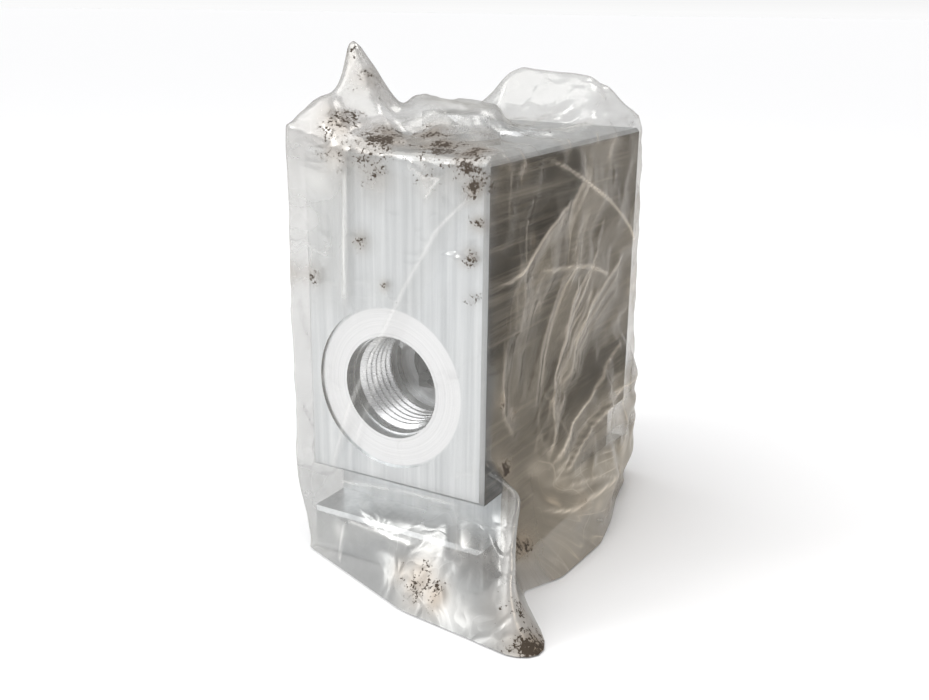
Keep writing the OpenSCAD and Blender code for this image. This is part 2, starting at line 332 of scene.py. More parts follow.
def block_aluminium():
    material, place = start_material("block_aluminium")
    normal = place.node("TexCoord", output="Normal")
    side = abs(normal.axis("X")).above(0.6, 0.9)
    upright = place.stretch(1000, 1000, 24).noise(1.0, detail=2.5, roughness=0.6)
    broad = place.stretch(230, 230, 7).noise(1.0, detail=3.0, roughness=0.6)
    level = place.stretch(900, 16, 900).noise(1.0, detail=2.5, roughness=0.65)
    cloud = place.noise(38.0, detail=4.0, roughness=0.6)
    scuff = place.noise(420.0, detail=3.0, roughness=0.7).above(0.63, 0.74)
    lines = side.node("Mix", {"data_type": "FLOAT"}, {0: side, 2: upright, 3: level})
    tone = lines * 0.55 + broad * 0.45
    bright = tone.node("ValToRGB", {"stops": [
        (0.32, (0.55, 0.57, 0.585)), (0.5, (0.69, 0.71, 0.72)), (0.68, (0.83, 0.845, 0.85))]},
        {0: tone})
    # painted shade: the sides get a near-black, warm colour as if in shadow; only their lines along the bar are
    # the bar's skin
    shaded_side_tone = lines * 0.6 + cloud * 0.4
    dark = shaded_side_tone.node("ValToRGB", {"stops": [
        (0.34, (0.012, 0.009, 0.006)), (0.5, (0.036, 0.029, 0.021)), (0.66, (0.14, 0.12, 0.095))]},
        {0: shaded_side_tone})
    # bright metal on the ends, painted shade on the sides
    colour = side.blend(bright, dark)
    rough = 0.3 + lines * 0.16 + side * 0.08 + scuff * 0.12
    height = lines * 0.7 + broad * 0.3 - scuff * 0.2
    for port, along, thread in ports():
        radius = from_axis(place, port, along)
        turned = 1 - radius.above(thread * (SPOTFACE - 0.04), thread * SPOTFACE)
        letter = "XYZ"[max(range(3), key=lambda k: abs(along[k]))]
        facing = abs(normal.axis(letter)).above(0.6, 0.9)
        near = place.axis(letter) * sum(along)
        turned = turned * facing * near.above(0.0, 0.005)
        rings = radius.node("CombineXYZ", None, {0: radius * 2600}).noise(1.0, detail=3.0)
        colour = turned.blend(colour, rings.above(0.3, 0.7).blend(
            rgb(0.84, 0.845, 0.85), rgb(0.97, 0.97, 0.975)))
        rough = rough * (1 - turned) + turned * (0.34 + rings * 0.1)
        height = height * (1 - turned) + rings * turned
    surface(material, place, Base_Color=colour, Metallic=1.0, Roughness=rough,
            Normal=bump(height, 0.00005, 0.6))
    return material


finish_node("valve_body", block_aluminium())
print(len(ports()), "ports have turned faces")

# %% [markdown]
# ## Small metal and rubber pieces
# The pieces inside are hardened and ground steel, zinc-plated plugs, black screws, brass, dulled
# steel washers and nitrile rubber. One function makes all the bare metals: turned parts have fine
# rings about the bore's axis, which are noise squeezed along the axis. What differs is the colour,
# the roughness and how much the surface is speckled.

# %% Turned metals and rubber
def turned_metal(name, light, dark, rough, speckle=0.3, ring=1800.0):
    material, place = start_material(name)
    lines = place.stretch(40, 40, ring).noise(1.0, detail=3.0, roughness=0.6)
    grain = place.noise(900.0, detail=3.0, roughness=0.6)
    mixed = lines * (1 - speckle) + grain * speckle
    colour = mixed.above(0.3, 0.7).blend(rgb(*dark), rgb(*light))
    surface(material, place, Base_Color=colour, Metallic=1.0,
            Roughness=rough + mixed * 0.15, Normal=bump(mixed, 0.00003, 0.5))
    return material


def rubber(name):
    material, place = start_material(name)
    grain = place.noise(1400.0, detail=2.0)
    colour = grain.above(0.35, 0.7).blend(rgb(0.018, 0.018, 0.019), rgb(0.04, 0.04, 0.042))
    surface(material, place, Base_Color=colour, Roughness=0.45 + grain * 0.2,
            Normal=bump(grain, 0.00004, 0.6))
    return material


def black_oxide(name):
    material, place = start_material(name)
    grain = place.noise(700.0, detail=4.0)
    rub = place.noise(240.0, detail=3.0).above(0.58, 0.75)
    colour = rub.blend(rgb(0.022, 0.022, 0.026), rgb(0.09, 0.09, 0.095))
    surface(material, place, Base_Color=colour, Metallic=0.75, Roughness=0.32 + grain * 0.16,
            Normal=bump(grain, 0.00003, 0.5))
    return material


ground_steel = turned_metal("ground_steel", (0.62, 0.62, 0.63), (0.48, 0.48, 0.49), 0.16)
zinc_plate = turned_metal("zinc_plate", (0.82, 0.83, 0.84), (0.66, 0.68, 0.7), 0.2, speckle=0.7)
spring_wire = turned_metal("spring_wire", (0.5, 0.5, 0.52), (0.34, 0.34, 0.36), 0.28, speckle=0.8)
turned_brass = turned_metal("turned_brass", (0.83, 0.64, 0.32), (0.66, 0.48, 0.22), 0.2)
washer_steel = turned_metal("washer_steel", (0.52, 0.5, 0.44), (0.36, 0.34, 0.3), 0.32, speckle=0.8)
nitrile = rubber("nitrile_rubber")
blackened = black_oxide("black_oxide")

FINISHES = {
    ground_steel: ["spool", "spring_seat", "check_seat", "check_poppet", "gallery_balls"],
    zinc_plate: ["orifice_screen", "adjuster_plug", "check_plug", "gauge_plug"],
    turned_brass: ["damping_orifice"],
    washer_steel: ["adjuster_plug_seal", "gauge_plug_seal"],
    nitrile: ["spring_seat_oring", "check_seat_oring", "check_plug_oring"],
    blackened: ["adjuster_screw", "lock_screw"],
}
for material, names in FINISHES.items():
    for name in names:
        finish_node(name, material)
print(sum(len(names) for names in FINISHES.values()), "small pieces have their finish")

# %% [markdown]
# ## Helpers for meshes
# Threads, springs and film are all grids of points: a row for each step along, and a column for
# each point of the section. One function turns any grid into a smooth mesh piece.

# %% Grid meshes
def grid_faces(rows, width, closed):
    """The squares between rows of points. closed joins each row's two ends."""
    return [(r * width + c, r * width + (c + 1) % width, (r + 1) * width + (c + 1) % width,
             (r + 1) * width + c) for r in range(rows - 1) for c in range(width - (not closed))]


def grid_piece(name, rows, body, material, closed=False, capped=False):
    """A mesh piece from rows of points in metres. capped closes the first and last row."""
    mesh = bpy.data.meshes.new(name)
    width = len(rows[0])
    points = [p for row in rows for p in row]
    faces = grid_faces(len(rows), width, closed)
    if capped:
        faces.append(tuple(range(width))[::-1])
        faces.append(tuple((len(rows) - 1) * width + c for c in range(width)))
    mesh.from_pydata(points, [], faces)
    mesh.materials.append(material)
    mesh.polygons.foreach_set("use_smooth", [True] * len(mesh.polygons))
    mesh.update()
    piece = add_object(name, mesh)
    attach(piece, body)
    return piece


# %% [markdown]
# ## Springs
# A compression spring is wire wound on a helix whose ends close up flat. A curve with a bevel
# could draw it, but a swept circle is as short to write and gives a mesh straight away. Each
# spring takes the place of the rigid one, as wound. The spool's spring is pressed from both ends,
# by the spool below and by the adjuster's seat above, and it is cut in two where it stays still.

# %% Winding the springs
STEPS_A_TURN, WIRE_SIDES = 40, 14
STILL_SHARE = 0.62    # how far up the spool's spring its still place is


def helix_height(turn, turns, wire, length):
    """Height of the wire's middle after so many turns, with one closed turn at each end."""
    if turn < 1:
        return wire + turn * 2 * wire
    if turn > turns - 1:
        return length - wire - (turns - turn) * 2 * wire
    return 3 * wire + (turn - 1) / (turns - 2) * (length - 6 * wire)


def wound_rows(node, turns, wire):
    """Rings of points along the wire, from the spring's bottom to its top."""
    low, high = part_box(node)
    middle = (low + high) / 2
    radius = (high.x - low.x) / 2 - wire
    rows = []
    for step in range(turns * STEPS_A_TURN + 1):
        turn = step / STEPS_A_TURN
        angle = turn * 2 * math.pi
        out = Vector((math.cos(angle), math.sin(angle), 0))
        rise = helix_height(turn, turns, wire, high.z - low.z)
        heart = Vector((middle.x, middle.y, low.z + rise)) + out * radius
        rows.append([heart + out * wire * math.cos(a) + Vector((0, 0, wire * math.sin(a)))
                     for a in (2 * math.pi * k / WIRE_SIDES for k in range(WIRE_SIDES))])
    return rows


def spring_piece(name, node, rows, joint, low_z, high_z):
    """The part of a spring between two heights, which takes the place of the rigid piece."""
    spring = grid_piece(name, rows, "block", spring_wire, closed=True, capped=True)
    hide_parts(node)
    travel = next(j["range_m"][1] for j in frame["joints"] if j["name"] == joint)
    1 - travel / (high_z - low_z)
    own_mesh(spring)
    print(name, "is", round((high_z - low_z) / MM, 1), "mm long and gives", round(travel / MM, 1))


low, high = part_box("check_spring")
spring_piece("check_spring_wound", "check_spring", wound_rows("check_spring", 6, 0.6 * MM),
             "check_lift", low.z, high.z)
low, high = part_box("spool_spring")
rows = wound_rows("spool_spring", 5, 0.7 * MM)
still = low.z + STILL_SHARE * (high.z - low.z)
cut = next(k for k, row in enumerate(rows) if sum(p.z for p in row) / len(row) >= still)
spring_piece("spool_spring_lower", "spool_spring", rows[:cut + 1], "spool_lift", low.z, still)
spring_piece("spool_spring_upper", "spool_spring", rows[cut:], "seat_push", still, high.z)

# %% [markdown]
# ## Threads
# The frame's ports are smooth bores at the thread's major diameter. A pipe thread is a helix of ridges
# with a 55 degree angle and rounded crests, so one ridge profile swept down the bore
# gives it. It fades in over the first half turn, as a tap leaves it, and stops before the bore's end.

# %% Cutting the port threads
# one ridge's profile: along the bore in half pitches, and inward as a share of the depth
RIDGE = [(-1.0, 0.0), (-0.8, 0.12), (-0.3, 0.84), (-0.12, 0.98), (0.12, 0.98), (0.3, 0.84),
         (0.8, 0.12), (1.0, 0.0)]
THREAD_STEPS = 96     # steps in each turn
HALF_INCH = (1.814 * MM, 1.162 * MM)                # pitch and depth of G1/2
THREE_EIGHTHS = (1.337 * MM, 0.856 * MM)            # and of G3/8


def cut_thread(name, mount, pitch, depth):
    """A pipe thread inside a port: ridges from the bore's wall to the minor diameter."""
    port = next(m for m in frame["record"]["mounts"] if m["name"] == mount)
    out = Vector(port["axis"])
    length = port["dims"]["length_mm"] * MM
    wall = port["dims"]["r_mm"] * MM + 0.03 * MM
    mouth = Vector(port["pos_m"]) + out * length / 2
    side = out.orthogonal().normalized()
    up = out.cross(side)
    steps = int((length - 1.2 * pitch) / pitch * THREAD_STEPS)
    rows = []
    for step in range(steps + 1):
        turn = step / THREAD_STEPS
        angle = turn * 2 * math.pi
        fade = min(1, turn / 0.5, (steps - step) / THREAD_STEPS / 0.25)
        radial = side * math.cos(angle) + up * math.sin(angle)
        heart = mouth - out * (0.6 * pitch + turn * pitch)
        rows.append([heart + out * across * pitch * 0.5 + radial * (wall - rise * depth * fade)
                     for across, rise in RIDGE])
    return grid_piece(name, rows, "block", thread_aluminium)


thread_aluminium = turned_metal("thread_aluminium", (0.9, 0.9, 0.91), (0.7, 0.71, 0.72), 0.2)
cut_thread("inlet_thread", "inlet_port", *HALF_INCH)
cut_thread("outlet_thread", "outlet_port", *HALF_INCH)
cut_thread("tank_thread", "tank_port", *THREE_EIGHTHS)

# %% [markdown]
# ## The bag, first loose
# The bag is a hood of thin polythene over the block, with one corner gathered into a
# fin at the top left, a flap at the front right corner and slack film low on the right. It could be
# sculpted, but film creases in a way of its own: it bends easily and doesn't stretch. So it is built in
# three stages. The first is a loose hood of small squares, with the fin, the bulges and the
# hem where they belong, and with more film than the block needs. The second lets Blender's
# cloth solver pull it in, and the spare film has to buckle. The third presses the long sharp folds.
#
# A point of the hood is told by `s`, the way round from the front left corner, and its height. Both
# are in millimetres, as are all the numbers of the bag's shape.

# %% Outline of the loose bag
HALF_W = (block_high.x - block_low.x) / 2 / MM
HALF_D = (block_high.y - block_low.y) / 2 / MM
TOP = block_high.z / MM
CORNERS = [0, 2 * HALF_W, 2 * HALF_W + 2 * HALF_D, 4 * HALF_W + 2 * HALF_D, 4 * (HALF_W + HALF_D)]
CELLS_X, CELLS_Y, CELLS_Z = 32, 56, 66
HEM = 0.35            # how far the hem is above the floor
SLACK = 1.5           # scale of the spare film
RIDGE_Y = 29          # where the ridge along the back of the roof runs
noise.seed_set(1)     # or vector noise starts somewhere else in every run
plug_low, plug_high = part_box("adjuster_plug")
PLUG = ((plug_low + plug_high) / 2) / MM
FIN = Vector((-17.0, -22.0))          # below the fin's tip
SHOULDER = Vector((-21.0, -30.0))     # where its skirt ends, near the front left corner


def soft(x):
    x = max(0.0, min(1.0, x))
    return x * x * (3 - 2 * x)


def window(x, low, high, fade):
    return soft((x - low) / fade + 0.5) * soft((high - x) / fade + 0.5)


def hill(x, width):
    return math.exp(-(x / width) ** 2)


def outline(s):
    """The block's own edge at s."""
    if s < CORNERS[1]:
        return Vector((s - HALF_W, -HALF_D))
    if s < CORNERS[2]:
        return Vector((HALF_W, s - CORNERS[1] - HALF_D))
    if s < CORNERS[3]:
        return Vector((HALF_W - (s - CORNERS[2]), HALF_D))
    return Vector((-HALF_W, HALF_D - (s - CORNERS[3])))


def heading(s):
    """The way that the film stands off, turning over a few millimetres at each corner."""
    turn = sum(soft((s - c) / 8 + 0.5) for c in CORNERS[1:]) + soft(s / 8 + 0.5) - 1
    angle = math.radians(-90 + 90 * turn)
    return Vector((math.cos(angle), math.sin(angle)))


def stand_off(s, z):
    """How far the loose film is from the block, apart from its hem and corners."""
    far = 0.6
    far += 3.4 * window(s, CORNERS[3] + 5, CORNERS[4] - 3, 6) * soft(z / 46 + 0.3)
    far += 10.0 * window(s, 53, 86, 16) * hill(z - 2, 27)
    far += 5.5 * window(s, 84, 113, 12) * window(z, 4, 37, 10)
    far += 1.5 * window(s, 60, 116, 12) * window(z, 30, 88, 12)
    far += 4.0 * window(s, CORNERS[2] + 4, CORNERS[3] - 4, 8) * hill(z - 30, 30)
    return far


# where the hem lies on the floor: s, x and y at each turn
HEM_LINE = [(0, -22, -38.5), (31, 10, -50.8), (42, 37, -53.9), (44, 44, -49.6), (47.5, 27.5, -32),
            (57.5, 32, -22), (76, 33, -3.5), (88, 30.5, 9), (108, 24.5, 29), (117, 22, 38.5)]


def hem(s):
    """The hem's place at s, or nothing where it just hangs below the wall."""
    for (s0, x0, y0), (s1, x1, y1) in zip(HEM_LINE, HEM_LINE[1:]):
        if s0 <= s <= s1:
            share = (s - s0) / (s1 - s0)
            return Vector((x0 + share * (x1 - x0), y0 + share * (y1 - y0)))
    return None


def hem_rise(s):
    """How high above the floor the film still leans out to its hem."""
    return (17 + 9 * hill(s - CORNERS[1] + 1, 3) - 9 * hill(s - CORNERS[1] - 3, 1.5)
            + 8 * window(s, 50, 94, 8) - 7 * window(s, 96, 117, 12))


def corner_out(s, z):
    """The film's own two front corners: a square one at the left and a flap at the right."""
    left = soft(1 - min(s, CORNERS[4] - s) / 5) * soft(z / 30 + 0.3)
    turn = math.radians(-45 * soft(1 - z / 26))
    reach = 9.5 * window(z, -6, 27, 5) * hill(s - CORNERS[1], 2.4)
    return Vector((-3.6, -0.5)) * left + Vector((math.cos(turn), math.sin(turn))) * reach


def spare(s, z):
    """How much more film there is than needed: little at the front and left, most low on the right."""
    right = window(s, CORNERS[1] + 3, CORNERS[3], 8)
    return SLACK * (0.2 + 0.45 * right) * soft(z / 6)


def roof_height(x, y):
    """The top film: the gathered fin, the lump over the plug and a ridge along the back."""
    place = Vector((x, y))
    spike = 11.0 * max(0.0, 1 - (place - FIN).length / 6.5) ** 1.3
    share = max(0.0, min(1.0, (place - FIN).dot(SHOULDER - FIN) / (SHOULDER - FIN).length_squared))
    gap = (place - FIN.lerp(SHOULDER, share)).length
    skirt = (10.5 - 2.5 * share) * max(0.0, 1 - gap / (15.0 if x < FIN.x else 17.0)) ** 1.15
    lump = Vector((x - PLUG.x + 1, y - PLUG.y - 1)).length
    ridge = (11.5 - 0.09 * (x + 8)) * hill(y - RIDGE_Y, 7.5) * window(x, -13, 19, 14)
    return TOP + 0.9 + max(spike + skirt, 7.4 / (1 + (lump / 12.0) ** 6), ridge)


def crumple(point, size, seed):
    """Sharp-edged bumps between -1 and 1, from folded noise."""
    place = point / size + Vector((seed, seed * 1.7, seed * 0.6))
    warp = noise.noise_vector(place * 0.6) * 0.9
    return 1 - 2 * abs(noise.noise(place + warp)) * 1.6


# %% The hood's mesh
def hood_points():
    """Points of the loose hood, hem first, then the roof; also each point's s."""
    walls = [(2 * HALF_W, CELLS_X), (2 * HALF_D, CELLS_Y)] * 2
    step_s = [corner + width * i / cells for corner, (width, cells) in zip(CORNERS, walls)
              for i in range(cells)]
    points, around = [], []
    for row in range(CELLS_Z + 1):
        z = HEM + (TOP + 0.6 - HEM) * row / CELLS_Z
        for s in step_s:
            bump_out = 0.5 + 0.5 * crumple(Vector((s, z, 0)), 13, 3.1)
            bump_out += 0.35 * crumple(Vector((s, z, 9)), 6, 7.7)
            edge = outline(s) + heading(s) * (stand_off(s, z) + spare(s, z) * bump_out)
            edge += corner_out(s, z)
            if hem(s):
                edge = edge.lerp(hem(s), max(0.0, 1 - z / hem_rise(s)) ** 1.15)
            lift = 4.2 * soft(1 - min(s, CORNERS[4] - s) / 9) * soft((z - TOP + 14) / 14)
            points.append(Vector((edge.x, edge.y, z + lift)))
            around.append(s)
    loop = len(step_s)
    top_row = CELLS_Z * loop
    index = {}
    for i in range(CELLS_X + 1):
        index[i, 0] = top_row + i
        index[i, CELLS_Y] = top_row + CELLS_X + CELLS_Y + CELLS_X - i
    for j in range(CELLS_Y + 1):
        index[CELLS_X, j] = top_row + CELLS_X + j
        index[0, j] = top_row + (2 * CELLS_X + CELLS_Y + CELLS_Y - j) % loop
    for j in range(1, CELLS_Y):
        for i in range(1, CELLS_X):
            u, v = i / CELLS_X, j / CELLS_Y
            left, right = points[index[0, j]], points[index[CELLS_X, j]]
            front, back = points[index[i, 0]], points[index[i, CELLS_Y]]
            x = left.x + (right.x - left.x) * u
            y = front.y + (back.y - front.y) * v
            rise = SLACK * (0.3 + 0.4 * crumple(Vector((x, y, 40)), 12, 5.3)
                            + 0.3 * crumple(Vector((x, y, 4)), 5, 1.3))
            z = roof_height(x, y)
            hook = -3.2 * max(0.0, (z - TOP - 9) / 12) ** 1.6
            index[i, j] = len(points)
            points.append(Vector((x + hook, y, z + rise)))
            around.append(-1)
    faces = grid_faces(CELLS_Z + 1, loop, True)
    faces += [(index[i, j], index[i + 1, j], index[i + 1, j + 1], index[i, j + 1])
              for j in range(CELLS_Y) for i in range(CELLS_X)]
    return points, around, faces


film_points, film_s, film_faces = hood_points()
print("the loose hood has", len(film_points), "points and", len(film_faces), "squares")

# %% [markdown]
# ## Pulling the film in
# The solver's smallest distances are about a millimetre, so the hood is settled at ten times its size.
# The block that it closes on is a plain copy: the side view with its two slots, and the two plugs that
# stand proud. The hem, the front left corner, the flap, the fin's tip and the ridge are held firmly
# and the low bulge on the right loosely.
# Inward pressure stands for the air that was pressed out.

# %% The solid that the film closes on
SCALE = 0.01          # metres in the simulation for each millimetre of film
FRAMES = 26
CLEARANCE = 0.003     # the solver's gap between film and block, in its own metres
LIP, SLOT_TOP, SLOT_DEEP = 10.0, 20.0, 11.0


def side_view():
    """The block's outline seen from its side, as (y, z)."""
    right = [(HALF_D, 0), (HALF_D, LIP), (HALF_D - SLOT_DEEP, LIP), (HALF_D - SLOT_DEEP, SLOT_TOP),
             (HALF_D, SLOT_TOP), (HALF_D, TOP)]
    return right + [(-y, z) for y, z in reversed(right)]


def collider(name, bm):
    mesh = bpy.data.meshes.new(name)
    bmesh.ops.recalc_face_normals(bm, faces=bm.faces)
    bm.to_mesh(mesh)
    bm.free()
    solid = add_object(name, mesh)
    solid.modifiers.new("solid", "COLLISION")
    solid.collision.thickness_outer = CLEARANCE
    solid.collision.thickness_inner = 0.05
    solid.collision.cloth_friction = 12
    solid.collision.damping = 0.4
    return solid


def pressed_block():
    bm = bmesh.new()
    ends = [[bm.verts.new((x * SCALE, y * SCALE, z * SCALE)) for y, z in side_view()]
            for x in (-HALF_W, HALF_W)]
    bm.faces.new(ends[0][::-1])
    bm.faces.new(ends[1])
    count = len(ends[0])
    for k in range(count):
        bm.faces.new((ends[0][k], ends[0][(k + 1) % count], ends[1][(k + 1) % count], ends[1][k]))
    return collider("pressed_block", bm)


def pressed_plug(node, along):
    """A round stand-in for a plug whose axis is along Z or X."""
    low, high = (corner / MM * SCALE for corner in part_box(node))
    size = high - low
    bm = bmesh.new()
    bmesh.ops.create_cone(bm, cap_ends=True, segments=24, radius1=size.y / 2 * 0.96,
                          radius2=size.y / 2 * 0.96, depth=max(size[k] * along[k] for k in range(3)))
    bmesh.ops.rotate(bm, verts=bm.verts,
                     matrix=Vector((0, 0, 1)).rotation_difference(along).to_matrix())
    bmesh.ops.translate(bm, verts=bm.verts, vec=(low + high) / 2)
    return collider("pressed_" + node, bm)


# %% Cloth simulation
def held(index, point):
    """How firmly a point of the hood is held: 1 doesn't move, 0 is free."""
    s = film_s[index]
    if s < 0:
        high = (point.z - TOP) / 20
        ridge = 0.9 * hill(point.y - RIDGE_Y, 2.5) * window(point.x, -10, 16, 6)
        return max(soft((high - 0.45) * 4), 0.95 * soft((high - 0.05) * 8) * (point.x < -9), ridge)
    firm = 1.0 if point.z < 1 else 0.0
    firm = max(firm, hill(s - CORNERS[1], 2.2) * window(point.z, -5, 25, 5))
    firm = max(firm, 0.9 * hill(min(s, CORNERS[4] - s), 4))
    firm = max(firm, 0.5 * window(s, 60, 112, 10) * hill(point.z - 14, 14))
    return firm if firm > 0.04 else 0.0


def settle_film():
    mesh = bpy.data.meshes.new("film")
    mesh.from_pydata([p * SCALE for p in film_points], [], film_faces)
    film = add_object("film", mesh)
    group = film.vertex_groups.new(name="held")
    for index, point in enumerate(film_points):
        group.add([index], held(index, point), "REPLACE")
    solids = [pressed_block(), pressed_plug("adjuster_plug", Vector((0, 0, 1))),
              pressed_plug("gauge_plug", Vector((1, 0, 0)))]
    cloth = film.modifiers.new("settle", "CLOTH")
    settings = cloth.settings
    settings.quality = 6
    settings.mass = 0.08
    settings.tension_stiffness = settings.compression_stiffness = 90
    settings.shear_stiffness = 45
    settings.bending_stiffness = 0.2
    settings.air_damping = 2
    settings.vertex_group_mass = "held"
    settings.pin_stiffness = 1.0
    settings.use_pressure = True
    settings.uniform_pressure_force = -5.0
    settings.effector_weights.gravity = 0
    cloth.collision_settings.distance_min = CLEARANCE
    cloth.collision_settings.collision_quality = 3
    cloth.collision_settings.use_self_collision = False
    cloth.point_cache.frame_start = 1
    cloth.point_cache.frame_end = FRAMES
    scene = bpy.context.scene
    for number in range(1, FRAMES + 1):
        scene.frame_set(number)
    shape = film.evaluated_get(bpy.context.evaluated_depsgraph_get()).to_mesh()
    settled = [v.co / SCALE for v in shape.vertices]
    scene.frame_set(1)
    for thing in [film] + solids:
        bpy.data.objects.remove(thing)
    return settled


film_settled = settle_film()
moved = sum((a - b).length for a, b in zip(film_settled, film_points)) / len(film_points)
print("the film moved", round(moved, 2), "mm on average")

# %% [markdown]
# ## Long folds
# The solver makes soft buckles, but stiff film also keeps long straight folds from having been folded and
# pulled tight. Each fold here is a line over the block's surface. The nearest film is lifted to a
# sharp ridge along it. The longest are listed one by one, and many short ones are drawn at
# random, most of them where the film is slack. To tell how near a fold is, a point of the film is
# first carried to its foot, the nearest point of the block.

# %% Where the folds run
def side(s, z):
    """The point of the block's side at s and height z."""
    edge = outline(s)
    return (edge.x, edge.y, z)


def roof(x, y):
    return (x, y, TOP)


# each fold's points, its height, how far it spreads, and how bright its line is painted: partly a milky crease,
# partly a painted highlight
LONG_FOLDS = {
    side: [
        ([(42, 85), (32, 75), (24.5, 62.5), (14.5, 43), (10.5, 34.5), (5, 17.5)], 0.9, 4.5, 0.55),
        ([(22, 54), (16, 38), (9, 21)], 0.4, 3, 0.4),
        ([(11, 87), (11, 80), (10.5, 68), (10, 56)], 0.8, 3.5, 0.7),
        ([(10, 10.5), (10.5, 1)], 0.6, 3, 0.6),
        ([(10, 10.5), (30, 10)], 0.6, 3, 0.6),
        ([(24.5, 87), (29, 84.5), (32, 84.5), (28.5, 79.5)], 0.5, 2.5, 0.7),
        ([(5, 18), (23, 19.5), (39.5, 20)], 0.4, 3, 0.5),
        ([(61, 87.5), (78, 81.5), (95, 74), (108, 66), (114, 57)], 1.6, 8, 0.8),
        ([(78, 77), (69, 74.5), (60, 70), (54, 66), (43.5, 64.5)], 1.2, 6, 0.8),
        ([(54, 66), (55, 60), (52.5, 52.5)], 0.9, 5, 0.5),
        ([(60.5, 64.5), (72.5, 63), (85.5, 61), (100.5, 55.5)], 1.3, 7, 0.6),
        ([(83, 61), (77, 55), (73, 47), (67, 39.5), (63, 29.5), (58.5, 23.5)], 1.6, 7, 0.6),
        ([(94.5, 55.5), (86.5, 50.5), (79.5, 43), (74.5, 38.5), (68.5, 36)], 1.1, 5, 0.5),
        ([(109, 39), (91, 35), (75.5, 30), (65.5, 26.5), (57.5, 22.5)], 1.8, 8, 0.7),
        ([(116, 32.5), (104, 30), (83.5, 26.5), (68.5, 23), (59, 20)], 1.4, 6, 0.6),
        ([(62.5, 39), (67.5, 30.5), (67, 26), (60, 23.5)], 0.9, 4, 0.4),
        ([(102.5, 30.5), (98.5, 25.5), (99.5, 17.5), (95, 13.5)], 1.2, 5, 0.5),
        ([(94, 11), (77, 13), (61.5, 14), (54.5, 16)], 1.4, 6, 0.6),
        ([(94, 11), (101, 5), (111, 0)], 1.0, 5, 0.5),
        ([(49, 56), (46, 47), (47, 38), (52, 31)], 1.0, 4, 0.5),
    ],
    roof: [
        ([(-9, 29), (14, 29)], 0.6, 4, 0.8),
        ([(-4, -2), (-9, 29)], 1.0, 6, 0.6),
        ([(14, 29), (21, 37)], 1.0, 5, 0.7),
        ([(14, 29), (19, 5), (14, -8)], 1.0, 6, 0.5),
        ([(-17, -22), (-21, -37)], 0.6, 4, 0.5),
        ([(-17, -22), (1, -34)], 1.0, 5, 0.5),
        ([(-17, -22), (-20, 10), (-14, 29)], 1.0, 5, 0.5),
    ],
}


def random_folds(seed, count, place, box, length, lean):
    """Short straight folds inside a box of s and z, or of x and y, leaning to one side."""
    draw = random.Random(seed)
    folds = []
    for _ in range(count):
        a, b = draw.uniform(box[0], box[1]), draw.uniform(box[2], box[3])
        angle = math.radians(draw.gauss(lean, 32))
        reach = draw.uniform(0.4, 1.0) * length
        end = (max(box[0], min(box[1], a + reach * math.cos(angle))),
               max(box[2], min(box[3], b + reach * math.sin(angle))))
        # the last number is how bright the fold's painted highlight line is
        folds.append(([place(a, b), place(*end)], draw.uniform(0.3, 0.9), draw.uniform(2.5, 6),
                      draw.uniform(0.0, 0.6) ** 1.5))
    return folds


def fan_folds(seed, count):
    """Long straight folds that spread over the right side from near the slot's front corner."""
    draw = random.Random(seed)
    fans = []
    for _ in range(count):
        angle = math.radians(draw.uniform(-8, 84))
        start, reach = draw.uniform(3, 34), draw.uniform(16, 46)
        line = []
        for share in (0, 0.5, 1):
            bend = angle - math.radians(9) * share
            away = start + reach * share
            line.append(side(min(116, 54 + away * math.cos(bend)), min(86, 20 + away * math.sin(bend))))
        # the last number is how bright the fold's painted highlight line is
        fans.append((line, draw.uniform(0.4, 1.1), draw.uniform(2.5, 5.5), draw.uniform(0.1, 0.55)))
    return fans


# the seed, how many, where, the box they start in, the greatest length and the lean in degrees
SHORT_FOLDS = [
    (5, 8, side, (46, 116, 1, 86), 24, 35), (15, 16, roof, (-12, 10, -24, 2), 10, 50),
    (13, 12, side, (44, 62, 68, 87), 12, 40), (7, 12, side, (1, 41, 1, 86), 16, 70),
    (8, 16, side, (160, 232, 2, 86), 30, 60), (9, 16, side, (118, 158, 2, 86), 24, 120),
    (11, 26, roof, (-18, 20, -34, 35), 14, 50),
]
folds = [([place(*spot) for spot in spots], *rest) for place, rows in LONG_FOLDS.items()
         for spots, *rest in rows]
folds += fan_folds(3, 26)
for kind in SHORT_FOLDS:
    folds += random_folds(*kind)
print(len(folds), "folds")


# %% Pressing the folds
def columns(data, name):
    """A property of every item of a mesh collection, as rows of three numbers."""
    flat = np.empty(len(data) * 3)
    data.foreach_get(name, flat)
    return flat.reshape(-1, 3)


def feet(places):
    return np.clip(places, (-HALF_W, -HALF_D, 0), (HALF_W, HALF_D, TOP))


def near_line(places, line):
    """Each place's distance from a line of points, and how far along the line it is, 0 to 1."""
    line = np.array(line, float)
    steps = np.linalg.norm(np.diff(line, axis=0), axis=1)
    best, along = np.full(len(places), np.inf), np.zeros(len(places))
    for k, (start, end) in enumerate(zip(line, line[1:])):
        share = np.clip((places - start) @ (end - start) / steps[k] ** 2, 0, 1)
        gap = np.linalg.norm(places - start - share[:, None] * (end - start), axis=1)
        along = np.where(gap < best, (steps[:k].sum() + share * steps[k]) / steps.sum(), along)
        best = np.minimum(best, gap)
    return best, along


def fold_marks(places):
    """The lift in mm and the brightness that all the folds give each place, painted as white lines: partly milky
    creases, partly painted highlights.
    """
    foot = feet(places)
    lift, line = np.zeros(len(foot)), np.zeros(len(foot))
    for points, height, spread, bright in folds:
        gap, along = near_line(foot, points)
        fade = np.clip(np.minimum(along, 1 - along) / 0.12, 0, 1)
        lift = np.maximum(lift, height * fade * np.clip(1 - gap / spread, 0, 1) ** 1.15)
        # painted highlight along each fold's ridge, partly the milk of a real crease
        line = np.maximum(line, bright * fade * np.exp(-(gap / 0.5) ** 2))
    return lift, line


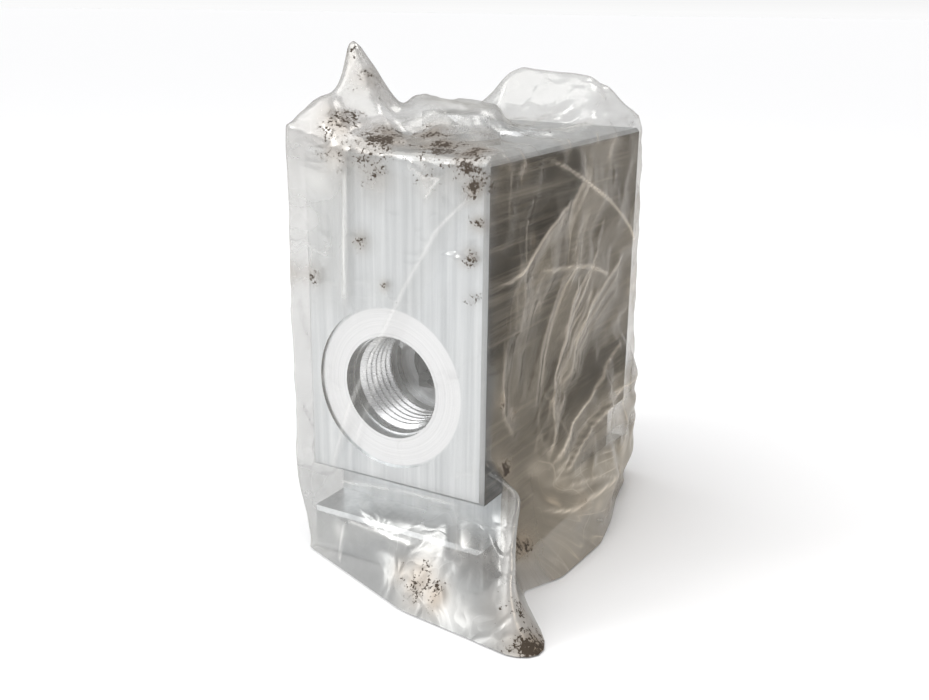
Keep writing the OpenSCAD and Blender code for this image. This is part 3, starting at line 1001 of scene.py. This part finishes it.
def from_neighbours(mesh, places):
    """From the middle of each point's neighbours to the point, in mm."""
    pairs = np.empty(len(mesh.edges) * 2, int)
    mesh.edges.foreach_get("vertices", pairs)
    a, b = pairs.reshape(-1, 2).T
    total, count = np.zeros_like(places), np.zeros(len(places))
    for first, second in ((a, b), (b, a)):
        np.add.at(total, first, places[second])
        np.add.at(count, first, 1)
    return places - total / count[:, None]


SMOOTHING = 0.12      # the furthest that one round of smoothing moves a point, in mm
ROUNDS = 3


def finer(points, faces):
    """The settled film, lightly smoothed above its hem and with every square split in four."""
    mesh = bpy.data.meshes.new("settled_film")
    mesh.from_pydata([p * MM for p in points], [], faces)
    places = columns(mesh.vertices, "co") / MM
    for _ in range(ROUNDS):
        step = -0.5 * from_neighbours(mesh, places)
        length = np.linalg.norm(step, axis=1, keepdims=True)
        step *= np.minimum(1, SMOOTHING / np.maximum(length, 1e-6)) * (places[:, 2:] > 1)
        places = places + step
    mesh.vertices.foreach_set("co", (places * MM).ravel())
    piece = add_object("film_hood", mesh)
    split = piece.modifiers.new("finer", "SUBSURF")
    split.levels = split.render_levels = 1
    shape = piece.evaluated_get(bpy.context.evaluated_depsgraph_get())
    piece.data = bpy.data.meshes.new_from_object(shape)
    piece.modifiers.clear()
    return piece


film = finer(film_settled, film_faces)
film_at = columns(film.data.vertices, "co") / MM
film_lift, film_crease_and_highlight = fold_marks(film_at)
film_at = film_at + columns(film.data.vertex_normals, "vector") * film_lift[:, None]
film.data.vertices.foreach_set("co", (film_at * MM).ravel())
film.data.update()
print("the film now has", len(film_at), "points, lifted up to", round(film_lift.max(), 2), "mm")

# %% [markdown]
# ## Marks on the film
# Four numbers are stored at each point of the film, for its material to read. The first is how white
# the film is painted along its folds, where it is sharply bent and in small patches: partly real, since
# a crease in polythene turns milky, and partly painted highlight, as if the folds and patches mirrored
# a light. The second is dirt: oily grit from the workshop sticks in patches. The third is haze, because
# where the bag lies in two layers or is finely wrinkled it is nearly grey, while pulled tight it is clear.
# The fourth is how much darker the film is painted: a little everywhere, more below about 23 mm, and
# most on the right side, the flap and the front hem, with brown only on the right side.

# %% Bends, dirt and haze
def sharpness(mesh, places):
    """How far each point stands out from the middle of its neighbours, in mm."""
    return (from_neighbours(mesh, places) * columns(mesh.vertex_normals, "vector")).sum(axis=1)


def on_face(place, rows):
    """Round patches on one face: each row is its two coordinates, its radius and its strength."""
    return [(place(a, b), radius, amount) for a, b, radius, amount in rows]


# dirty patches; the last ones stand clear of the block, at the fin's tip and on the flap
DIRT = on_face(side, [
    (2, 62, 2.5, 0.7), (14, 70.5, 2.2, 0.8), (19.5, 62.5, 1.2, 0.8), (39, 70, 2.4, 0.8),
    (39.5, 62.5, 2.0, 0.8), (40, 84, 3.4, 0.9), (40.5, 77, 2.0, 0.7), (38.5, 87, 3.0, 0.9),
    (32.5, 5, 4.5, 0.7), (37.5, 4, 3.0, 0.7), (28, 5, 3.0, 0.5), (46.5, 13.5, 4.0, 0.8),
    (46.5, 41.5, 2.0, 0.6), (51, 37, 1.8, 0.6), (47.5, 26.5, 3.6, 0.9), (54.5, 85.5, 2.2, 0.6),
    (58, 71.5, 1.4, 0.6), (71, 74, 1.6, 0.6), (50.5, 9.5, 3.4, 0.8), (66, 14, 3.0, 0.5),
    (84, 6, 4.0, 0.6), (100, 3, 5.0, 0.6),
]) + on_face(roof, [
    (-14, -24, 6.0, 0.5), (-4, -34, 7.0, 0.9), (8, -33, 7.0, 0.9), (16, -35, 5.0, 0.9),
    (2, -27, 5.0, 0.8), (-13, -34, 6.0, 0.8), (13, -22, 4.0, 0.5),
]) + [
    ((-18.0, -24.0, 106.0), 4.0, 0.6), ((41.0, -50.0, 1.0), 7.0, 1.0), ((34.0, -47.0, 6.0), 5.0, 0.7),
]

# painted glints: small patches where the film is painted whiter, as if it mirrored a light
PAINTED_GLINTS = on_face(side, [
    (4, 82, 5.5, 0.7), (8, 86, 3.5, 0.7), (2, 74, 4.0, 0.5), (29, 83, 2.2, 0.6), (9, 8, 3.0, 0.5),
    (24, 9, 3.0, 0.3), (41, 3, 3.0, 0.4), (56, 24, 3.0, 0.4), (62, 21, 3.0, 0.4), (74, 10, 3.0, 0.4),
    (99, 14, 3.0, 0.5),
]) + on_face(roof, [
    (-20, -35, 4.0, 0.5), (15, 27, 3.0, 0.6), (-2, -14, 2.5, 0.8), (-5, -8, 2.0, 0.8),
])

# finely wrinkled patches: over the plug and where the film is tucked in at the slot
CRUMPLED = on_face(side, [
    (50, 22, 6.0, 0.9), (20, 15, 9.0, 0.7), (5, 83, 6.0, 0.7),
]) + on_face(roof, [
    (-1, -12, 11.0, 1.7), (-5, -24, 8.0, 0.7),
])


def patches(places, spots):
    """The strongest of a list of soft round patches at each place."""
    foot = feet(places)
    mark = np.zeros(len(places))
    for middle, radius, amount in spots:
        gap = np.minimum(np.linalg.norm(foot - middle, axis=1), np.linalg.norm(places - middle, axis=1))
        mark = np.maximum(mark, amount * np.exp(-(gap / radius) ** 2))
    return mark


def ease(values, low, high):
    """0 below low, 1 above high and smooth between, for arrays."""
    share = np.clip((values - low) / (high - low), 0, 1)
    return share * share * (3 - 2 * share)


def haze_marks(places):
    foot = feet(places)
    x, y, z = foot.T
    front = ease(-y, HALF_D - 0.6, HALF_D - 0.1) * ease(TOP - z, 0.1, 0.8)
    right = ease(x, HALF_W - 0.6, HALF_W - 0.1) * (1 - front) * ease(TOP - z, 0.1, 0.8)
    haze = np.full(len(places), 0.75)
    across = x + HALF_W
    fold = 5 + (z - 17.5) * 0.55
    on_front = (0.34 + 0.36 * ease(11.5 - across, 0, 0.8) * ease(z, 52, 60)
                + 0.14 * ease(fold - across, 0, 1.5) + 0.6 * ease(22 - z, 0, 4)
                + 0.5 * ease(12 - z, 0, 5))
    back_from_front = y + HALF_D
    clear_above = 64.5 + np.clip(back_from_front - 2, 0, 40) * 0.36
    clear = ease(z, clear_above - 1, clear_above + 1) * ease(40 - back_from_front, 0, 6)
    strip = ease(11 - back_from_front, 0, 3) * ease(z, 46, 52)
    low = ease(34 - z, 0, 14) * ease(back_from_front, 8, 20)
    on_right = 0.7 + 0.6 * low - 0.6 * np.maximum(clear, 0.8 * strip)
    haze = haze * (1 - front) + on_front * front
    return haze * (1 - right) + on_right * right


# how much darker the film is painted: a little everywhere, more below about 23 mm, most on the right side, the
# flap and the front hem
def darkening_marks(places):
    foot = feet(places)
    _, y, z = places.T
    darkening = 0.1 + 0.8 * ease(foot[:, 0], HALF_W - 0.6, HALF_W - 0.1) * ease(TOP - foot[:, 2], 0, 1)
    darkening = np.maximum(darkening, 0.6 * ease(23 - z, 0, 4))
    return np.maximum(darkening, 0.9 * ease(-y, HALF_D + 1, HALF_D + 5) * ease(14 - z, 0, 6))


film_dirt = patches(film_at, DIRT)
film_darkening = darkening_marks(film_at)
film_haze = np.maximum(haze_marks(film_at), patches(film_at, CRUMPLED))
film_bend = np.clip((sharpness(film.data, film_at) - 0.03) / 0.15, 0, 1) * 0.5
# white marks on the film: milky creases, and painted highlights along the folds and at the glint patches
film_crease_and_highlight = np.maximum(np.maximum(film_crease_and_highlight, film_bend), patches(film_at, PAINTED_GLINTS) * 0.8)
marks = film.data.color_attributes.new(name="marks", type="FLOAT_COLOR", domain="POINT")
marks.data.foreach_set("color", np.stack([film_crease_and_highlight, film_dirt, film_haze, film_darkening],
                                         axis=1).astype(np.float32).ravel())
print("bent", round(film_bend.mean(), 3), "dirty", round(film_dirt.mean(), 3),
      "hazy", round(film_haze.mean(), 3))

# %% [markdown]
# ## The film's material
# Polythene film could be made as glass, but a single sheet of glass shader darkens what is behind it and
# renders slowly. Here it is a thin coat instead: its alpha says how much of the light it stops. A clear
# stretch stops a little, a bend, haze or dirt stops more, and so does film seen edge-on. A
# little metallic shading gives the strong mirror glints of stretched film.

# %% Clear film
SLOT_CORNER = Vector((HALF_W, 2 - HALF_D, SLOT_TOP + 2)) * MM


def fan(place):
    """Long streaks that spread over the right side from the slot's corner, and where they are."""
    away = place.away(SLOT_CORNER)
    turn = away.math("ARCTAN2", away.axis("Z"), away.axis("Y"))
    reach = away.length()
    streaks = turn.node("CombineXYZ", None, {0: turn * 6, 1: reach * 14})
    there = place.axis("X").above((HALF_W - 1) * MM, (HALF_W + 0.3) * MM)
    there = there * place.axis("Y").above(-HALF_D * MM, (3 - HALF_D) * MM)
    return streaks.noise(1.0, detail=1.5, roughness=0.5), there, reach.above(0.012, 0.034)


def clear_film():
    material, place = start_material("clear_film")
    marks = place.node("Attribute", {"attribute_name": "marks"}, output="Color")
    line, dirt, haze = (marks.node("SeparateColor", None, {0: marks}, output=name)
                        for name in ("Red", "Green", "Blue"))
    darkening = place.node("Attribute", {"attribute_name": "marks"}, output="Alpha")
    facing = place.node("LayerWeight", None, {"Blend": 0.35}, output="Facing")
    cloud = place.noise(55.0, detail=5.0, roughness=0.6)
    broad = place.noise(24.0, detail=3.0, roughness=0.5)
    bent = place.node("TexNoise", None, {"Vector": place, "Scale": 60.0}, output="Color")
    warp = place.node("Mix", {"data_type": "VECTOR"}, {0: 0.03, 4: place, 5: bent}, output=1)
    wide = warp.stretch(1, 1, 0.5).cells(52.0)
    small = warp.stretch(0.7, 0.7, 1).cells(140.0)
    crinkle = (1 - wide.above(0.0, 0.02)) * 0.6 + (1 - small.above(0.0, 0.02)) * 0.25
    crinkle = crinkle * cloud.above(0.45, 0.62) * haze
    streaks, on_right, clear_of_corner = fan(place)
    fanned = on_right * clear_of_corner
    # painted highlights: bright streaks fanning over the right side from the slot's corner
    painted_streak_highlights = (1 - abs(streaks - 0.5) * 40).clamp() + (1 - abs(streaks - 0.62) * 45).clamp() * 0.8
    painted_streak_highlights = painted_streak_highlights * fanned * cloud.above(0.35, 0.6)
    swell = (1 - fanned) * 0.5 + fanned * streaks.above(0.3, 0.68)
    speck = place.noise(1500.0, detail=3.0, roughness=0.7)
    clump = place.noise(420.0, detail=2.0)
    grime = (dirt * 0.34 + speck * 0.75 + clump * 0.45).above(0.83, 0.9) * dirt.above(0.06, 0.2)
    stain = (dirt * cloud.above(0.25, 0.65)).clamp()
    milky = haze * (cloud * 0.7 + broad * 0.5 + swell * 0.85)
    # the streaks join the painted highlight lines
    line = line.math("MAXIMUM", line, painted_streak_highlights * 0.5)
    alpha = 0.06 + milky * 0.42 + line * 0.35 + crinkle * 0.3 + facing ** 4 * 0.9
    alpha = (alpha + grime * 0.8 + stain * 0.7).clamp()
    # where the film is painted darker it turns grey, and brown on the right side
    darkened_tone = on_right.blend(rgb(0.34, 0.345, 0.34), rgb(0.36, 0.31, 0.235))
    dull = darkening.blend(rgb(0.7, 0.695, 0.67), darkened_tone)
    # painted highlight colour: near white, golden on the right side as if it mirrored the warm side light
    bright = on_right.blend(rgb(0.96, 0.95, 0.92), rgb(0.9, 0.8, 0.66))
    pale = line.above(0.1, 0.9).blend(dull, bright)
    edged = (facing ** 3 * 0.8).blend(pale, rgb(0.3, 0.28, 0.24))
    colour = stain.blend(edged, rgb(0.26, 0.2, 0.14))
    colour = grime.blend(colour, rgb(0.05, 0.035, 0.022))
    height = wide.above(0.0, 0.25) * 0.6 + small.above(0.0, 0.25) * 0.25 + cloud * 0.2
    height = height * (1 - on_right * 0.6) + swell * 1.2
    surface(material, place, Base_Color=colour, Metallic=0.4 * (1 - grime),
            Roughness=0.13 + milky * 0.14 + grime * 0.5, Alpha=alpha,
            Normal=bump(height, 0.0008, 0.5))
    return material


film.data.materials.clear()
film.data.materials.append(clear_film())
film.data.polygons.foreach_set("use_smooth", [True] * len(film.data.polygons))
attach(film, "bag")
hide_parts("protective_bag")
print("film area", round(sum(p.area for p in film.data.polygons) * 1e4, 1), "square cm")
